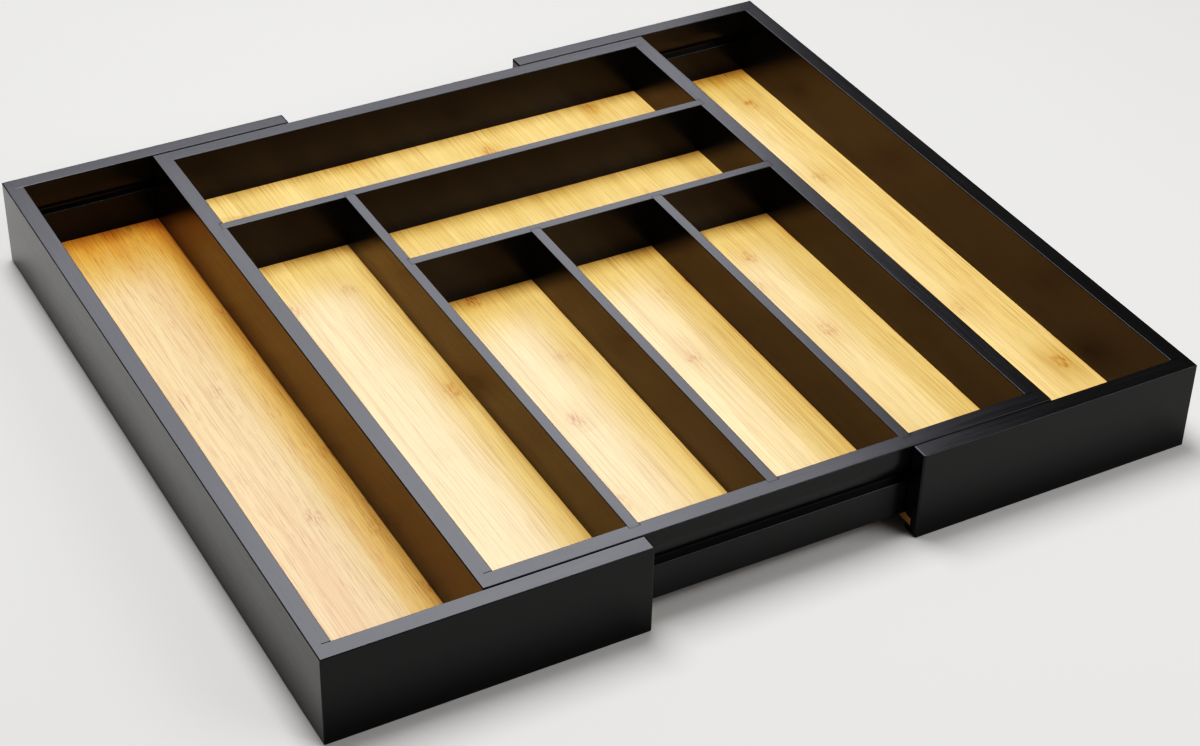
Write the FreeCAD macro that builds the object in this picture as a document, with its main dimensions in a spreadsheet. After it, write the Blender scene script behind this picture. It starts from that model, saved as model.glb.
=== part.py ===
import FreeCAD, Part
import os
import Sketcher

# Expanding cutlery tray of black painted bamboo, in millimetres, +Z up.
# A centre tray of six compartments stands in two wings. Each wing is a three sided frame with its own
# floor, and adds one more compartment when it is drawn out. The origin is under the middle of the tray,
# on the surface that it stands on, and the wings are drawn out to their stops.

DRIVING = {
    # the whole tray
    "tray_depth": 430,      # front to back, over the wings
    "tray_height": 50,      # from the table to the rim
    "shut_width": 330,      # side to side, with both wings pushed in
    "wall_thick": 9.5,      # every outer board
    "divider_thick": 6,     # every board between compartments
    "floor_thick": 5,       # every floor panel
    # play between the pieces that slide
    "end_gap": 0.5,         # end of the centre tray to a wing's side wall, pushed in
    "side_gap": 0.5,        # front and back of the centre tray to a wing's walls
    "ride_gap": 0.3,        # underside of the centre tray to a wing's floor
    "meet_gap": 1,          # between the two wings, both pushed in
    # floors and their grooves
    "wing_sill": 4,         # table to the underside of a wing's floor
    "main_sill": 5.2,       # edge of the centre tray's walls to the underside of its floor
    "floor_setback": 0.5,   # free end of a wing's walls to the edge of its floor
    "fit": 0.2,             # end of a board or panel to the bottom of its groove
    # compartments across the back of the centre tray, front to back
    "back_bay": 71.5,
    "second_bay": 69.5,
    "housing": 2.5,         # how far a divider goes into a wall
    "notch": 2,             # how far a divider goes into another divider
    # guide grooves and the keys that run in them
    "guide_height": 29.3,   # table to the lower lip of the grooves
    "guide_mouth": 2.6,     # height of the straight part of a groove
    "guide_depth": 2.8,
    "lip_rise": 9.6,        # height of a groove's upper lip, which curves out to the board's face
    "lip_ease": 0.5,        # radius on its lower lip
    "key_length": 36,
    "key_inset": 5,         # free end of a wing's wall to its key
    "key_play": 0.3,        # over and under the part of a key that slides
    "tip_gap": 0.5,         # tip of a key to the bottom of the groove that it slides in
    "stop_gap": 0.25,       # between two keys that meet
    # edges
    "wall_ease": 0.5,       # radius on the edges of the outer boards
    "divider_ease": 0.4,    # radius on the top edges of the dividers
    "end_round": 1.2,       # radius round a wing wall's free end
    # how far a cut runs out past the face that it starts from
    "overrun": 1,
    # part of a wall's thickness taken by a corner's lap, and by the floor in its groove
    "lap_share": 0.5,
}

DERIVED = {
    "lap": "wall_thick * lap_share",
    "wing_length": "(shut_width - meet_gap) / 2",
    "wing_floor_top": "wing_sill + floor_thick",
    "main_bottom": "wing_floor_top + ride_gap",
    "main_height": "tray_height - main_bottom",
    "main_floor_top": "main_sill + floor_thick",
    "main_width": "shut_width - 2 * (wall_thick + end_gap)",
    "main_depth": "tray_depth - 2 * (wall_thick + side_gap)",
    # dividers
    "divider_height": "main_height - main_floor_top",
    "divider_bottom": "main_bottom + main_floor_top",
    "column": "(main_width - 2 * wall_thick - 3 * divider_thick) / 4",
    "column_step": "column + divider_thick",
    "main_inner_left": "wall_thick - main_width / 2",
    "main_inner_front": "wall_thick - main_depth / 2",
    "long_divider_x": "main_inner_left + column",
    "back_cross_y": "-main_inner_front - back_bay - divider_thick",
    "middle_cross_y": "back_cross_y - second_bay - divider_thick",
    # the lip is an arc that touches the board's face at its top
    "lip_radius": "(lip_rise * lip_rise + guide_depth * guide_depth) / (2 * guide_depth)",
    # a wing drawn out: its keys then meet the keys of the centre tray
    "overlap": "lap + 2 * key_length + stop_gap + key_inset",
    "drawn_half": "main_width / 2 - overlap + wing_length",
    "groove_edge": "wall_thick - lap + fit",
}

START = 1
END = 2
CENTRE = 3
AXES = -1

doc = FreeCAD.newDocument("cutlery_tray")
sheet = doc.addObject("Spreadsheet::Sheet", "sizes")
cells = [(alias, str(number)) for alias, number in DRIVING.items()]
cells += [(alias, "=" + formula) for alias, formula in DERIVED.items()]
for row, (alias, content) in enumerate(cells, start=1):
    sheet.set(f"A{row}", alias)
    sheet.set(f"B{row}", content)
    sheet.setAlias(f"B{row}", alias)
doc.recompute()

pieces = []


def of_sheet(formula):
    """Write a formula in the sheet's names as an expression that any object can use."""
    words = formula.replace("(", "( ").replace(")", " )").split()
    return " ".join("sizes." + word if word[0].isalpha() else word for word in words)


def bind(thing, path, formula):
    thing.setExpression(path, of_sheet(formula))


def place(piece, x, y, z, turned=False):
    """Put a piece in the tray, turned half round about the upright axis where it faces the other way."""
    if turned:
        piece.Placement = FreeCAD.Placement(FreeCAD.Vector(), FreeCAD.Rotation(180, 0, 0))
    bind(piece, "Placement.Base.x", x)
    bind(piece, "Placement.Base.y", y)
    bind(piece, "Placement.Base.z", z)


def new_body(label):
    body = doc.addObject("PartDesign::Body", label)
    body.Label = label
    pieces.append(body)
    return body


def sketch_on(body, role, name):
    """Start a sketch on one of the body's own origin planes."""
    sketch = body.newObject("Sketcher::SketchObject", f"{body.Name}_{name}")
    plane = next(feature for feature in body.Origin.OriginFeatures if feature.Role == role)
    sketch.AttachmentSupport = [(plane, "")]
    sketch.MapMode = "FlatFace"
    return sketch


def dimension(sketch, kind, ends, formula):
    """Add a dimension at its present value, and bind it to the sheet."""
    length = float(sketch.evalExpression(of_sheet(formula)))
    index = sketch.addConstraint(Sketcher.Constraint(kind, *ends, length))
    bind(sketch, f"Constraints[{index}]", formula)


def rectangle(sketch, left, low, width, height):
    """Draw a rectangle from its lower left corner, with all four sizes bound to the sheet."""
    corners = [FreeCAD.Vector(x, y) for x, y in ((0, 0), (1, 0), (1, 1), (0, 1))]
    bottom = sketch.GeometryCount
    right, top, side = bottom + 1, bottom + 2, bottom + 3
    for start, end in zip(corners, corners[1:] + corners[:1]):
        sketch.addGeometry(Part.LineSegment(start, end))
    for line, following in ((bottom, right), (right, top), (top, side), (side, bottom)):
        sketch.addConstraint(Sketcher.Constraint("Coincident", line, END, following, START))
    for line in (bottom, top):
        sketch.addConstraint(Sketcher.Constraint("Horizontal", line))
    for line in (right, side):
        sketch.addConstraint(Sketcher.Constraint("Vertical", line))
    dimension(sketch, "DistanceX", (AXES, START, bottom, START), left)
    dimension(sketch, "DistanceY", (AXES, START, bottom, START), low)
    dimension(sketch, "DistanceX", (bottom, START, bottom, END), width)
    dimension(sketch, "DistanceY", (right, START, right, END), height)


def pad(body, sketch, length):
    feature = body.newObject("PartDesign::Pad", f"{sketch.Name}_pad")
    feature.Profile = sketch
    bind(feature, "Length", length)
    doc.recompute()


def board(label, along_x, along_y, height):
    """A plain board standing on its edge, or a panel lying flat, from its lowest corner."""
    body = new_body(label)
    plan = sketch_on(body, "XY_Plane", "plan")
    rectangle(plan, "0", "0", along_x, along_y)
    pad(body, plan, height)
    return body


def cut(body, sketch, depth=None):
    """Cut a sketch down to a depth, or right through the body both ways."""
    before = body.Shape.Volume
    pocket = body.newObject("PartDesign::Pocket", f"{sketch.Name}_cut")
    pocket.Profile = sketch
    if depth:
        bind(pocket, "Length", depth)
    else:
        pocket.Type = "ThroughAll"
        pocket.Midplane = True
    doc.recompute()
    if body.Shape.Volume >= before:
        raise ValueError(f"{pocket.Name} takes no wood away")


def ease(body, radius, wanted=None):
    """Round the edges that a test picks, or all of them."""
    base = body.Tip
    edges = [f"Edge{number}" for number, edge in enumerate(base.Shape.Edges, start=1)
             if wanted is None or wanted(edge.BoundBox)]
    fillet = body.newObject("PartDesign::Fillet", f"{base.Name}_ease")
    fillet.Base = (base, edges)
    bind(fillet, "Radius", radius)
    doc.recompute()


def ease_top(body, radius):
    """Round the two long upper edges of a board."""
    box = body.Shape.BoundBox
    longest = max(box.XLength, box.YLength)
    ease(body, radius,
         lambda edge: edge.ZMin > box.Center.z and edge.DiagonalLength > longest / 2)


def groove_along_x(body, name, left, low, width, height):
    """A straight groove along a board that runs side to side."""
    section = sketch_on(body, "YZ_Plane", name)
    rectangle(section, left, low, width, height)
    cut(body, section)


def groove_along_y(body, name, left, low, width, height):
    """A straight groove along a board that runs front to back."""
    section = sketch_on(body, "XZ_Plane", name)
    rectangle(section, left, low, width, height)
    cut(body, section)


def guide_groove(body, face, inward, low):
    """The groove that a key runs in: a lower lip like a shelf, and an upper lip that curves out to the face.

    face is where the board's face lies across its thickness, and inward points from it into the wood.
    """
    at_face = sheet.get(face) if face != "0" else 0
    level = sheet.get("guide_height")
    reach, mouth, rise, radius, out = (
        sheet.get(alias) for alias in ("guide_depth", "guide_mouth", "lip_rise", "lip_radius", "overrun"))
    back = at_face + inward * reach
    outside = at_face - inward * out
    roof = level + mouth
    section = sketch_on(body, "YZ_Plane", "guide")
    outline = [FreeCAD.Vector(y, z) for y, z in (
        (outside, level), (back, level), (back, roof), (at_face, roof + rise), (outside, roof + rise))]
    lower, rear, arc, upper, front = range(5)
    lip = FreeCAD.Vector(at_face + inward * radius, roof + rise)
    half_way = outline[2] + outline[3] - lip * 2
    half_way.multiply(radius / half_way.Length)
    foot, head = (END, START) if inward > 0 else (START, END)
    turn = (outline[2], outline[3]) if foot == START else (outline[3], outline[2])
    section.addGeometry(Part.LineSegment(outline[0], outline[1]))
    section.addGeometry(Part.LineSegment(outline[1], outline[2]))
    section.addGeometry(Part.Arc(turn[0], lip + half_way, turn[1]))
    section.addGeometry(Part.LineSegment(outline[3], outline[4]))
    section.addGeometry(Part.LineSegment(outline[4], outline[0]))
    for first_line, first_end, second_line, second_end in (
            (lower, END, rear, START), (rear, END, arc, foot), (arc, head, upper, START),
            (upper, END, front, START), (front, END, lower, START)):
        section.addConstraint(
            Sketcher.Constraint("Coincident", first_line, first_end, second_line, second_end))
    for line in (lower, upper):
        section.addConstraint(Sketcher.Constraint("Horizontal", line))
    for line in (rear, front):
        section.addConstraint(Sketcher.Constraint("Vertical", line))
    section.addConstraint(Sketcher.Constraint("Horizontal", arc, head, arc, CENTRE))
    sign = "" if inward > 0 else "-1 * "
    dimension(section, "DistanceY", (AXES, START, lower, START), low)
    dimension(section, "DistanceY", (rear, START, rear, END), "guide_mouth")
    dimension(section, "DistanceX", (rear, END, arc, CENTRE), f"{sign}( lip_radius - guide_depth )")
    dimension(section, "DistanceY", (rear, END, arc, CENTRE), "lip_rise")
    dimension(section, "DistanceX", (AXES, START, lower, END), f"{face} + {sign}guide_depth")
    dimension(section, "DistanceX", (lower, START, lower, END), f"{sign}( guide_depth + overrun )")
    cut(body, section)
    shelf = section.getPoint(lower, START)
    ease(body, "lip_ease",
         lambda edge: edge.XLength > edge.DiagonalLength / 2
         and abs(edge.Center.y - at_face) < out and abs(edge.Center.z - shelf.y) < out)


def corner_laps(body, length):
    """Cut away the inner part of a side wall's two ends, so that each laps over a front or back wall."""
    plan = sketch_on(body, "XY_Plane", "laps")
    rectangle(plan, "lap", "0 - overrun", "wall_thick", "wall_thick + overrun")
    rectangle(plan, "lap", f"{length} - wall_thick", "wall_thick", "wall_thick + overrun")
    cut(body, plan)


def divider_slots(body, name, slots):
    """Slots down a wall's inner face for the ends of dividers, open at the top; x, y, size along each."""
    plan = sketch_on(body, "XY_Plane", name)
    bind(plan, "AttachmentOffset.Base.z", "main_height")
    for slot in slots:
        rectangle(plan, *slot)
    cut(body, plan, "divider_height")


def divider_notches(body, name, notches):
    """Notches down the whole face of a divider for the ends of others; x, y, size along each."""
    plan = sketch_on(body, "XY_Plane", name)
    for notch in notches:
        rectangle(plan, *notch)
    cut(body, plan)


def mirrored(label, source, normal):
    """The same piece for the other side, mirrored about a plane through the middle of the tray."""
    mirror = doc.addObject("Part::Mirroring", label)
    mirror.Label = label
    mirror.Source = source
    mirror.Normal = normal
    pieces.append(mirror)
    return mirror


LEFT_TO_RIGHT = FreeCAD.Vector(1, 0, 0)
FRONT_TO_BACK = FreeCAD.Vector(0, 1, 0)


# Centre tray: four walls round a floor panel

def main_front_or_back(label):
    body = board(label, "main_width - 2 * lap", "wall_thick", "main_height")
    ease(body, "wall_ease", lambda edge: edge.XLength > edge.DiagonalLength / 2)
    groove_along_x(body, "floor_groove", "wall_thick - lap", "main_sill", "lap + overrun", "floor_thick")
    guide_groove(body, "0", 1, "guide_height - main_bottom")
    return body


def main_side(label):
    body = board(label, "wall_thick", "main_depth", "main_height")
    ease(body, "wall_ease")
    groove_along_y(body, "floor_groove", "wall_thick - lap", "main_sill", "lap + overrun", "floor_thick")
    corner_laps(body, "main_depth")
    return body


main_front_wall = main_front_or_back("main_front_wall")
divider_slots(main_front_wall, "divider_slots", [
    (f"wall_thick - lap + column + {step} * column_step", "wall_thick - housing", "divider_thick",
     "housing + overrun") for step in range(3)])
place(main_front_wall, "lap - main_width / 2", "0 - main_depth / 2", "main_bottom")

main_back_wall = main_front_or_back("main_back_wall")
place(main_back_wall, "main_width / 2 - lap", "main_depth / 2", "main_bottom", turned=True)

main_left_wall = main_side("main_left_wall")
divider_slots(main_left_wall, "divider_slots", [
    ("wall_thick - housing", "back_cross_y + main_depth / 2", "housing + overrun", "divider_thick")])
place(main_left_wall, "0 - main_width / 2", "0 - main_depth / 2", "main_bottom")

main_right_wall = main_side("main_right_wall")
divider_slots(main_right_wall, "divider_slots", [
    ("wall_thick - housing", "wall_thick + back_bay", "housing + overrun", "divider_thick"),
    ("wall_thick - housing", "wall_thick + back_bay + divider_thick + second_bay", "housing + overrun",
     "divider_thick")])
place(main_right_wall, "main_width / 2", "main_depth / 2", "main_bottom", turned=True)

main_floor = board(
    "main_floor", "main_width - 2 * groove_edge", "main_depth - 2 * groove_edge", "floor_thick")
place(main_floor, "groove_edge - main_width / 2", "groove_edge - main_depth / 2", "main_bottom + main_sill")


# Dividers: they stand on the floor, with their ends let into the walls and into each other

def divider(label, along_x, along_y):
    body = board(label, along_x, along_y, "divider_height")
    ease_top(body, "divider_ease")
    return body


back_cross_divider = divider(
    "back_cross_divider", "main_width - 2 * ( wall_thick - housing + fit )", "divider_thick")
divider_notches(back_cross_divider, "notch", [
    ("housing - fit + column", "0 - overrun", "divider_thick", "notch + overrun")])
place(back_cross_divider, "main_inner_left - housing + fit", "back_cross_y", "divider_bottom")

long_divider = divider(
    "long_divider", "divider_thick",
    "back_cross_y + notch - fit - ( main_inner_front - housing + fit )")
divider_notches(long_divider, "notch", [
    ("divider_thick - notch", "middle_cross_y - ( main_inner_front - housing + fit )",
     "notch + overrun", "divider_thick")])
place(long_divider, "long_divider_x", "main_inner_front - housing + fit", "divider_bottom")

middle_cross_divider = divider(
    "middle_cross_divider", "notch - fit + 3 * column_step - divider_thick + housing - fit",
    "divider_thick")
divider_notches(middle_cross_divider, "notches", [
    (f"notch - fit + {step} * column_step - divider_thick", "0 - overrun", "divider_thick",
     "notch + overrun") for step in (1, 2)])
place(middle_cross_divider, "long_divider_x + divider_thick - notch + fit", "middle_cross_y",
      "divider_bottom")

for step, label in enumerate(("short_divider_left", "short_divider_right"), start=1):
    short_divider = divider(
        label, "divider_thick", "middle_cross_y + notch - fit - ( main_inner_front - housing + fit )")
    place(short_divider, f"long_divider_x + {step} * column_step", "main_inner_front - housing + fit",
          "divider_bottom")


# Left wing: a side wall lapped over a front and a back wall, and a floor that runs under the centre tray

left_wing_side_wall = board("left_wing_side_wall", "wall_thick", "tray_depth", "tray_height")
ease(left_wing_side_wall, "wall_ease")
groove_along_y(left_wing_side_wall, "floor_groove", "wall_thick - lap", "wing_sill", "lap + overrun",
               "floor_thick")
corner_laps(left_wing_side_wall, "tray_depth")
place(left_wing_side_wall, "0 - drawn_half", "0 - tray_depth / 2", "0")

left_wing_front_wall = board("left_wing_front_wall", "wing_length - lap", "wall_thick", "tray_height")
middle = left_wing_front_wall.Shape.BoundBox.Center
ease(left_wing_front_wall, "wall_ease", lambda edge: edge.XLength > edge.DiagonalLength / 2)
ease(left_wing_front_wall, "end_round", lambda edge: edge.XMin > middle.x)
groove_along_x(left_wing_front_wall, "floor_groove", "wall_thick - lap", "wing_sill", "lap + overrun",
               "floor_thick")
guide_groove(left_wing_front_wall, "wall_thick", -1, "guide_height")
place(left_wing_front_wall, "lap - drawn_half", "0 - tray_depth / 2", "0")

left_wing_back_wall = mirrored("left_wing_back_wall", left_wing_front_wall, FRONT_TO_BACK)

left_wing_floor = board("left_wing_floor", "wing_length - groove_edge - floor_setback",
                        "tray_depth - 2 * groove_edge", "floor_thick")
place(left_wing_floor, "groove_edge - drawn_half", "groove_edge - tray_depth / 2", "wing_sill")


# Guide keys: one half is glued in its own groove, and the slimmer half slides in the groove that faces it.
# A wing's key meets the centre tray's key when the wing is drawn out, and stops it there.

def guide_key(label):
    body = new_body(label)
    glued = sketch_on(body, "YZ_Plane", "glued_half")
    rectangle(glued, "0", "0", "guide_depth", "guide_mouth")
    pad(body, glued, "key_length")
    sliding = sketch_on(body, "YZ_Plane", "sliding_half")
    rectangle(sliding, "0", "key_play", "2 * guide_depth + side_gap - tip_gap", "guide_mouth - 2 * key_play")
    pad(body, sliding, "key_length")
    return body


left_wing_front_key = guide_key("left_wing_front_key")
place(left_wing_front_key, "lap + key_length + stop_gap - main_width / 2",
      "wall_thick - guide_depth - tray_depth / 2", "guide_height")
left_wing_back_key = mirrored("left_wing_back_key", left_wing_front_key, FRONT_TO_BACK)

main_front_left_key = guide_key("main_front_left_key")
place(main_front_left_key, "lap + key_length - main_width / 2", "guide_depth - main_depth / 2",
      "guide_height", turned=True)
main_back_left_key = mirrored("main_back_left_key", main_front_left_key, FRONT_TO_BACK)


# Right side: the same pieces mirrored

for source in (left_wing_side_wall, left_wing_front_wall, left_wing_back_wall, left_wing_floor,
               left_wing_front_key, left_wing_back_key, main_front_left_key, main_back_left_key):
    mirrored(source.Label.replace("left", "right"), source, LEFT_TO_RIGHT)

doc.recompute()

for thing in doc.Objects:
    if "Invalid" in thing.State or "Error" in thing.State:
        raise RuntimeError(f"{thing.Name} was left as {thing.State}")
for piece in pieces:
    if piece.Shape.isNull() or not piece.Shape.isValid() or len(piece.Shape.Solids) != 1:
        raise RuntimeError(f"{piece.Label} is not one sound solid")

os.makedirs("parts", exist_ok=True)
for piece in pieces:
    piece.Shape.exportStep(os.path.join("parts", piece.Label + ".step"))
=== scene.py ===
import math

import bmesh
import bpy
from mathutils import Matrix, Vector

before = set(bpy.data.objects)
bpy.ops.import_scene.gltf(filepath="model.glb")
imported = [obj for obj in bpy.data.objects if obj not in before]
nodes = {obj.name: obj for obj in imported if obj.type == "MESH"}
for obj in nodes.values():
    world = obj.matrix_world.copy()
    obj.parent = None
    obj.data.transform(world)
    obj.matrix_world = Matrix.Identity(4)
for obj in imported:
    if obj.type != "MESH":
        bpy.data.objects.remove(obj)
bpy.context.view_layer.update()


# Wing frames: on each side of the tray a side wall and two long arms, lapped and glued at the corners.
# They are bamboo boards, planed and grooved, eased along their edges and sprayed with satin black lacquer.

MM = 0.001
LACQUER_BLACK = "#0a0a0b"
LACQUER_THIN = "#0f0e0e"
LACQUER_IOR = 1.39
LACQUER_ROUGHNESS = (0.2, 0.26)
LACQUER_RELIEF = 0.1 * MM
LACQUER_BUMP = 0.02
GRAIN_WIDTH = 1.1 * MM
GRAIN_LENGTH = 40 * MM
PEEL_SIZE = 3 * MM
NOISE_LOW, NOISE_HIGH = 0.3, 0.7  # nearly all of a noise lies between these
MIX_FIRST, MIX_SECOND, MIX_COLOUR = 6, 7, 2  # a Mix node's two colours, and its output that is their mix


def linear(hex_colour):
    """An sRGB hex colour as linear red, green, blue and alpha."""
    channels = [int(hex_colour[i:i + 2], 16) / 255 for i in (1, 3, 5)]
    return [c / 12.92 if c <= 0.04045 else ((c + 0.055) / 1.055) ** 2.4 for c in channels] + [1]


def add(tree, kind, inputs, **settings):
    """Add a node with its settings; an input that is a socket is linked, and any other one is set."""
    node = tree.nodes.new(kind)
    for name, value in settings.items():
        setattr(node, name, value)
    for name, value in inputs.items():
        if isinstance(value, bpy.types.NodeSocket):
            tree.links.new(value, node.inputs[name])
        else:
            node.inputs[name].default_value = value
    return node.outputs


def new_material(name):
    """A material with an empty node tree."""
    material = bpy.data.materials.new(name)
    material.use_nodes = True
    material.node_tree.nodes.clear()
    return material


def black_lacquer(name, grain_size):
    """Sprayed satin black lacquer on a bamboo board: nearly black, with an even silky gloss.

    The film levels over the wood, so the eye gets a faint orange peel and, up close, the shallow lines of
    the grain, where the black is a touch thinner. Real grain lines are about 0.3 mm wide, and are drawn
    wider here so that they show. grain_size is how far a line reaches along x, y and z.
    """
    material = new_material(name)
    tree = material.node_tree
    place = add(tree, "ShaderNodeTexCoord", {})["Object"]
    stretch = [1 / size for size in grain_size]
    grain_place = add(tree, "ShaderNodeMapping", {"Vector": place, "Scale": stretch})[0]
    grain = add(tree, "ShaderNodeTexNoise", {"Vector": grain_place, "Scale": 1, "Detail": 2})[0]
    peel = add(tree, "ShaderNodeTexNoise", {"Vector": place, "Scale": 1 / PEEL_SIZE, "Detail": 1})[0]
    height = add(tree, "ShaderNodeMath", {0: grain, 1: peel}, operation="ADD")[0]
    bump = add(tree, "ShaderNodeBump", {"Height": height, "Strength": LACQUER_BUMP,
                                        "Distance": LACQUER_RELIEF})[0]
    thin = add(tree, "ShaderNodeMapRange", {"Value": grain, "From Min": NOISE_LOW, "From Max": NOISE_HIGH})[0]
    colour = add(tree, "ShaderNodeMix", {"Factor": thin, MIX_FIRST: linear(LACQUER_BLACK),
                                         MIX_SECOND: linear(LACQUER_THIN)}, data_type="RGBA")[MIX_COLOUR]
    roughness = add(tree, "ShaderNodeMapRange", {"Value": thin, "To Min": LACQUER_ROUGHNESS[0],
                                                 "To Max": LACQUER_ROUGHNESS[1]})[0]
    surface = add(tree, "ShaderNodeBsdfPrincipled", {"Base Color": colour, "Roughness": roughness,
                                                     "IOR": LACQUER_IOR, "Normal": bump})[0]
    add(tree, "ShaderNodeOutputMaterial", {"Surface": surface})
    return material


lacquer_along_x = black_lacquer("black_lacquer_grain_along_x", (GRAIN_LENGTH, GRAIN_WIDTH, GRAIN_WIDTH))
lacquer_along_y = black_lacquer("black_lacquer_grain_along_y", (GRAIN_WIDTH, GRAIN_LENGTH, GRAIN_WIDTH))


def give_finish(names, material):
    """Give pieces of the tray their finish."""
    for name in names:
        nodes[name].data.materials.clear()
        nodes[name].data.materials.append(material)


for side in ("left_wing_", "right_wing_"):
    give_finish([side + "side_wall"], lacquer_along_y)
    give_finish([side + "front_wall", side + "back_wall"], lacquer_along_x)


# Wing floors: one thin panel in each wing, in the grooves of its three boards and under the centre tray.
# Flat bamboo strips are glued edge to edge, sanded and given a thin clear lacquer.

STRIP_WIDTH = 18.5 * MM
STRIP_UNEVENNESS = 0.3
STRIP_STEP = 50  # how far apart two strips may lie in a pattern
BAMBOO_TONES = ((0.1, "#f2c275"), (0.3, "#deb368"), (0.5, "#d5a85d"), (0.7, "#ce9a4c"), (0.85, "#c48837"),
                (1, "#b87027"))
TONE_SPREAD = 0.6
TONE_SIZE = (22 * MM, 240 * MM)  # this and the four sizes below: across and along a strip
PATCH_SIZE = (8 * MM, 70 * MM)
FIBRE_SIZE = (0.55 * MM, 55 * MM)
FLECK_SIZE = (0.65 * MM, 14 * MM)
DASH_SIZE = (0.8 * MM, 5 * MM)
FIBRE_LINE = (0.52, 0.57)  # this and the two below: where in its noise a line starts, and where it is full
FLECK_LINE = (0.59, 0.63)
DASH_LINE = (0.46, 0.6)
FIBRE_BROWN = "#95571a"
FIBRE_DEPTH = 0.4
FLECK_DEPTH = (0.15, 0.9)
FLECK_CROWDING = (0.7, 1.15)
FIBRE_RELIEF = 0.1 * MM
FIBRE_BUMP = 0.08
# Where along the floor the painted back shade rises: it starts at the first y and is full at the second, by
# the back wall.
PAINTED_BACK_SHADE_SPAN = (148 * MM, 216 * MM)
KNUCKLE_SPACING = (40 * MM, 58 * MM)
KNUCKLE_REACH = 5.5 * MM
KNUCKLE_CORE_SHARE = 0.5
KNUCKLE_HALO_SHARE = 3
KNUCKLE_BROWN = "#a35e1f"
HALO_HONEY = "#cc9d52"
GLUE_LINE = 0.55 * MM
GLUE_DEPTH = 0.3
GLUE_BROWN = "#a87539"
CLEAR_LACQUER_IOR = 1.62
CLEAR_LACQUER_ROUGHNESS = (0.3, 0.4)


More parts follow.
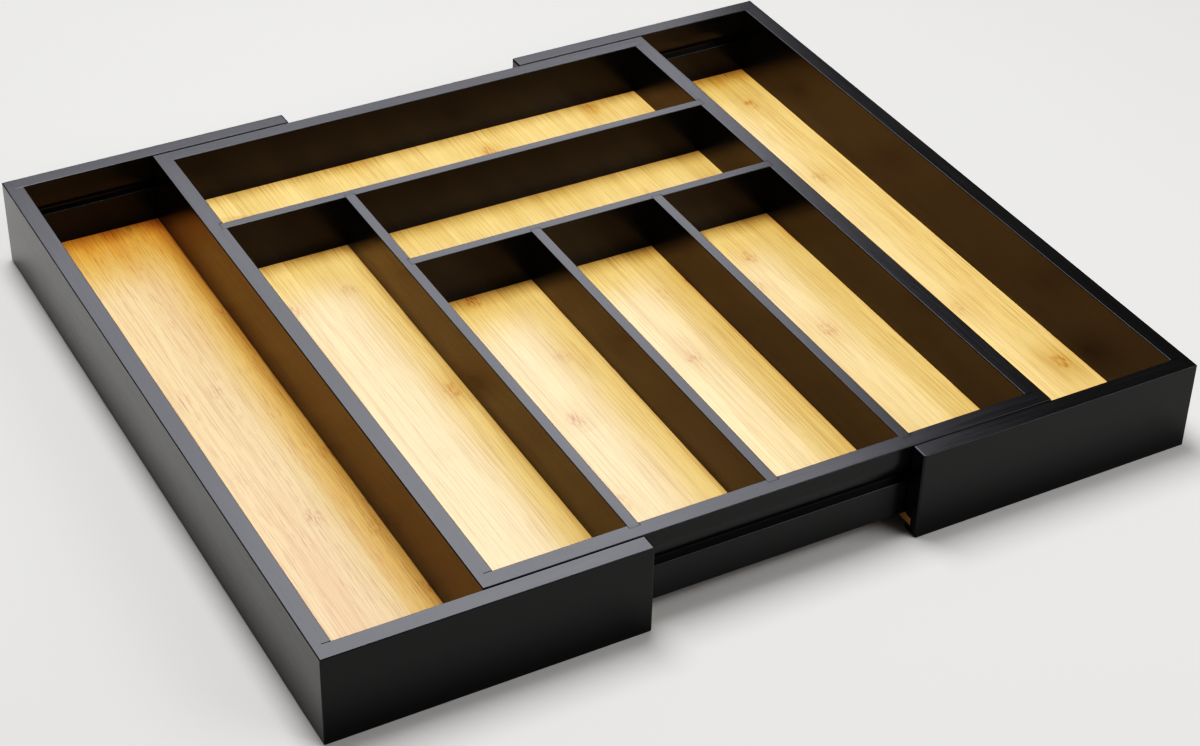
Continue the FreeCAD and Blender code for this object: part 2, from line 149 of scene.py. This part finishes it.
def clear_bamboo(name, offset, honey, painted_back_shade):
    """Clear lacquered bamboo: straw to honey strips along the tray, with fine brown fibres and knuckles.

    Each strip has its own tone. The fibres are long hair lines, with short flecks that crowd together in
    patches, and the knuckles are small knots of brown dashes where the cane had a joint. Real fibres are
    about 0.3 mm wide, and are drawn wider here so that they show. offset picks other strips, honey makes a
    panel darker, and painted_back_shade is painted shade: how much darker and more crowded with flecks the
    back end of the floor is painted, towards the back wall that shades it. A negative one paints the back
    end lighter, painted light.
    """
    material = new_material(name)
    tree = material.node_tree
    place = add(tree, "ShaderNodeTexCoord", {})["Object"]
    place = add(tree, "ShaderNodeMapping", {"Vector": place, "Location": (offset, 0, 0)})[0]
    axes = add(tree, "ShaderNodeSeparateXYZ", {"Vector": place})
    strips = {"W": axes["X"], "Scale": 1 / STRIP_WIDTH, "Randomness": STRIP_UNEVENNESS}
    strip = add(tree, "ShaderNodeTexVoronoi", strips, voronoi_dimensions="1D")["Color"]
    chance = add(tree, "ShaderNodeSeparateColor", {"Color": strip})["Red"]
    cane = add(tree, "ShaderNodeMath", {0: chance, 1: STRIP_STEP}, operation="MULTIPLY")[0]

    patterns = []
    for (width, length), detail in ((TONE_SIZE, 0), (PATCH_SIZE, 1), (FIBRE_SIZE, 1), (FLECK_SIZE, 1),
                                    (DASH_SIZE, 1)):
        stretched = add(tree, "ShaderNodeMapping", {"Vector": place, "Scale": (1 / width, 1 / length, 1)})[0]
        patterns.append(add(tree, "ShaderNodeTexNoise", {"Vector": stretched, "W": cane, "Scale": 1,
                                                         "Detail": detail}, noise_dimensions="4D")[0])
    tone, patches, fibres, flecks, dashes = patterns

    # The panel's honey tone, plus painted shade that darkens the back end towards the back wall (painted
    # light when negative).
    honey_and_painted_back_shade = add(tree, "ShaderNodeMapRange", {"Value": axes["Y"], "From Min": PAINTED_BACK_SHADE_SPAN[0],
                                              "From Max": PAINTED_BACK_SHADE_SPAN[1], "To Min": honey,
                                              "To Max": honey + painted_back_shade}, interpolation_type="SMOOTHSTEP")[0]
    tone = add(tree, "ShaderNodeMath", {0: tone, 1: TONE_SPREAD, 2: honey_and_painted_back_shade}, operation="MULTIPLY_ADD")[0]
    colour = add(tree, "ShaderNodeValToRGB", {"Fac": tone})["Color"]
    stops = colour.node.color_ramp.elements
    while len(stops) < len(BAMBOO_TONES):
        stops.new(1)
    for stop, (at, straw) in zip(stops, BAMBOO_TONES):
        stop.position = at
        stop.color = linear(straw)

    # Flecks crowd in patches, and also where the painted back shade darkens the back end.
    crowding = add(tree, "ShaderNodeMath", {0: patches, 1: honey_and_painted_back_shade}, operation="ADD")[0]
    crowding = add(tree, "ShaderNodeMapRange", {"Value": crowding, "From Min": FLECK_CROWDING[0],
                                                "From Max": FLECK_CROWDING[1], "To Min": FLECK_DEPTH[0],
                                                "To Max": FLECK_DEPTH[1]})[0]

    spacing = [1 / size for size in KNUCKLE_SPACING] + [1]
    spaced = add(tree, "ShaderNodeMapping", {"Vector": place, "Scale": spacing})[0]
    knuckles = add(tree, "ShaderNodeTexVoronoi", {"Vector": spaced, "Scale": 1}, voronoi_dimensions="2D")
    strength = add(tree, "ShaderNodeSeparateColor", {"Color": knuckles["Color"]})["Red"]
    reach = KNUCKLE_REACH / KNUCKLE_SPACING[0]
    knuckle = add(tree, "ShaderNodeMapRange", {"Value": knuckles["Distance"],
                                               "From Min": KNUCKLE_CORE_SHARE * reach, "From Max": reach,
                                               "To Min": strength, "To Max": 0})[0]
    halo = add(tree, "ShaderNodeMapRange", {"Value": knuckles["Distance"], "From Min": 0,
                                            "From Max": KNUCKLE_HALO_SHARE * reach, "To Min": strength,
                                            "To Max": 0})[0]

    edge = add(tree, "ShaderNodeTexVoronoi", strips, voronoi_dimensions="1D", feature="DISTANCE_TO_EDGE")[0]
    glue = add(tree, "ShaderNodeMapRange", {"Value": edge, "From Min": 0, "From Max": GLUE_LINE / STRIP_WIDTH,
                                            "To Min": GLUE_DEPTH, "To Max": 0})[0]

    shares = []
    for pattern, (start, full), depth in ((fibres, FIBRE_LINE, FIBRE_DEPTH), (flecks, FLECK_LINE, crowding),
                                          (dashes, DASH_LINE, knuckle)):
        shares.append(add(tree, "ShaderNodeMapRange", {"Value": pattern, "From Min": start, "From Max": full,
                                                       "To Min": 0, "To Max": depth})[0])
    fibre_share, fleck_share, dash_share = shares
    for share, stain in ((halo, HALO_HONEY), (fibre_share, FIBRE_BROWN), (fleck_share, FIBRE_BROWN),
                         (glue, GLUE_BROWN), (dash_share, KNUCKLE_BROWN)):
        colour = add(tree, "ShaderNodeMix", {"Factor": share, MIX_FIRST: colour, MIX_SECOND: linear(stain)},
                     data_type="RGBA")[MIX_COLOUR]

    roughness = add(tree, "ShaderNodeMapRange", {"Value": fibres, "From Min": NOISE_LOW,
                                                 "From Max": NOISE_HIGH,
                                                 "To Min": CLEAR_LACQUER_ROUGHNESS[0],
                                                 "To Max": CLEAR_LACQUER_ROUGHNESS[1]})[0]
    bump = add(tree, "ShaderNodeBump", {"Height": fibres, "Strength": FIBRE_BUMP,
                                        "Distance": FIBRE_RELIEF})[0]
    surface = add(tree, "ShaderNodeBsdfPrincipled", {"Base Color": colour, "Roughness": roughness,
                                                     "IOR": CLEAR_LACQUER_IOR, "Normal": bump})[0]
    add(tree, "ShaderNodeOutputMaterial", {"Surface": surface})
    return material


# The wing floors get painted shade at their back ends, darker where the back wall shades them.
give_finish(["left_wing_floor"], clear_bamboo("clear_bamboo_left_wing", offset=0.7, honey=0.33, painted_back_shade=0.25))
give_finish(["right_wing_floor"], clear_bamboo("clear_bamboo_right_wing", offset=1.9, honey=-0.25, painted_back_shade=0.7))


# Centre tray: four boards like the wings', lapped at the corners, round a floor panel of its own.
# The front and back boards have guide grooves outside, and all four hold the floor in grooves inside.

give_finish(["main_front_wall", "main_back_wall"], lacquer_along_x)
give_finish(["main_left_wall", "main_right_wall"], lacquer_along_y)
# The centre floor gets painted light at its back end: a negative painted_back_shade lifts the back bays.
give_finish(["main_floor"], clear_bamboo("clear_bamboo_centre", offset=3.4, honey=0, painted_back_shade=-0.2))


# Dividers: thinner boards of the same black bamboo, housed in the walls and in each other and glued.
# They stand on the centre floor and come up level with the walls.

give_finish(["back_cross_divider", "middle_cross_divider"], lacquer_along_x)
give_finish(["long_divider", "short_divider_left", "short_divider_right"], lacquer_along_y)


# Guide keys: slips of black lacquered bamboo, glued into the ends of the guide grooves.
# They run in the grooves and stop the wings, and hardly show when the tray is together.

give_finish([name for name in nodes if name.endswith("_key")], lacquer_along_x)


# Table: the wide pale board that the tray lies on in the studio, painted matt.
# It is the stage, and the outer faces of the tray mirror it.

TABLE_HALF = 6
TABLE_GREY = "#c2c1bf"
TABLE_ROUGHNESS = 0.9

table_mesh = bpy.data.meshes.new("table")
shape = bmesh.new()
bmesh.ops.create_grid(shape, x_segments=1, y_segments=1, size=TABLE_HALF)
shape.to_mesh(table_mesh)
shape.free()
table = bpy.data.objects.new("table", table_mesh)
bpy.context.scene.collection.objects.link(table)
table_paint = new_material("pale_matt_paint")
surface = add(table_paint.node_tree, "ShaderNodeBsdfPrincipled", {"Base Color": linear(TABLE_GREY),
                                                                  "Roughness": TABLE_ROUGHNESS})[0]
add(table_paint.node_tree, "ShaderNodeOutputMaterial", {"Surface": surface})
table_mesh.materials.append(table_paint)


# Light: a large cool soft box behind and to the right, with a brighter core, which only the gloss of the
# boards and floors mirrors. A soft box overhead and a little behind lights the floors and the table, a weak
# one in front and to the right lifts the near faces, and the room is dim.

ROOM_GREY = (0.15, 0.15, 0.15, 1)
COOL_WHITE = (0.96, 0.97, 1.06)
WHITE = (1, 1, 1)
TRAY_MIDDLE = (0, 0, 0)

world = bpy.data.worlds.new("studio")
world.use_nodes = True
world.node_tree.nodes["Background"].inputs["Color"].default_value = ROOM_GREY
bpy.context.scene.world = world


def soft_box(name, centre, aim, size, radiance, colour):
    """A flat panel of even light, its middle at one point and its face turned to another."""
    width, height = size
    light = bpy.data.lights.new(name, "AREA")
    light.shape = "RECTANGLE"
    light.size = width
    light.size_y = height
    light.energy = radiance * math.pi * width * height
    light.color = colour
    lamp = bpy.data.objects.new(name, light)
    lamp.location = centre
    lamp.rotation_euler = (Vector(centre) - Vector(aim)).to_track_quat("Z", "Y").to_euler()
    bpy.context.scene.collection.objects.link(lamp)
    return lamp


back = soft_box("back_soft_box", centre=(0.292, 0.76, 0.867), aim=(0.292, 0.169, 0.06), size=(0.945, 0.9),
                radiance=4.3, colour=COOL_WHITE)
core = soft_box("back_soft_box_core", centre=(0.26, 0.62, 0.95), aim=(0.26, 0.029, 0.143), size=(0.48, 0.5),
                radiance=2.1, colour=COOL_WHITE)
back.visible_diffuse = False
core.visible_diffuse = False
soft_box("top_soft_box", centre=(-0.1, 0.36, 1.67), aim=TRAY_MIDDLE, size=(0.6, 0.9), radiance=25.2,
         colour=WHITE)
soft_box("front_soft_box", centre=(1.1, -1.2, 1.2), aim=TRAY_MIDDLE, size=(1.4, 1.0), radiance=5.5,
         colour=WHITE)


# Camera: stands in front and to the left of the tray and looks down on it, where the photograph was taken.
# The film has a soft toe and shoulder, so the lacquer stays black and the lit floors don't burn out.

EYE = Vector((-0.5368, -0.9813, 0.7965))
HEADING = math.radians(29.44)
DOWN = math.radians(35.99)
ROLL = math.radians(1.515)
FOCAL_LENGTH_MM = 77.45
FILM_WIDTH_MM = 36
FILM_WHITE = 1.35
FILM_CURVE = ((0.03, 0.0105), (0.09, 0.056), (0.18, 0.155), (0.55, 0.54), (0.92, 0.8))
ALL_CHANNELS = 3  # the curve that bends red, green and blue alike

lens = bpy.data.cameras.new("camera")
lens.lens = FOCAL_LENGTH_MM
lens.sensor_width = FILM_WIDTH_MM
camera = bpy.data.objects.new("camera", lens)
camera.matrix_world = (Matrix.Translation(EYE) @ Matrix.Rotation(-HEADING, 4, "Z")
                       @ Matrix.Rotation(math.pi / 2 - DOWN, 4, "X") @ Matrix.Rotation(ROLL, 4, "Z"))
bpy.context.scene.collection.objects.link(camera)
bpy.context.scene.camera = camera

film = bpy.context.scene.view_settings
film.view_transform = "Standard"
film.use_curve_mapping = True
film.curve_mapping.white_level = (FILM_WHITE, FILM_WHITE, FILM_WHITE)
for light, shown in FILM_CURVE:
    film.curve_mapping.curves[ALL_CHANNELS].points.new(light / FILM_WHITE, shown)
film.curve_mapping.update()
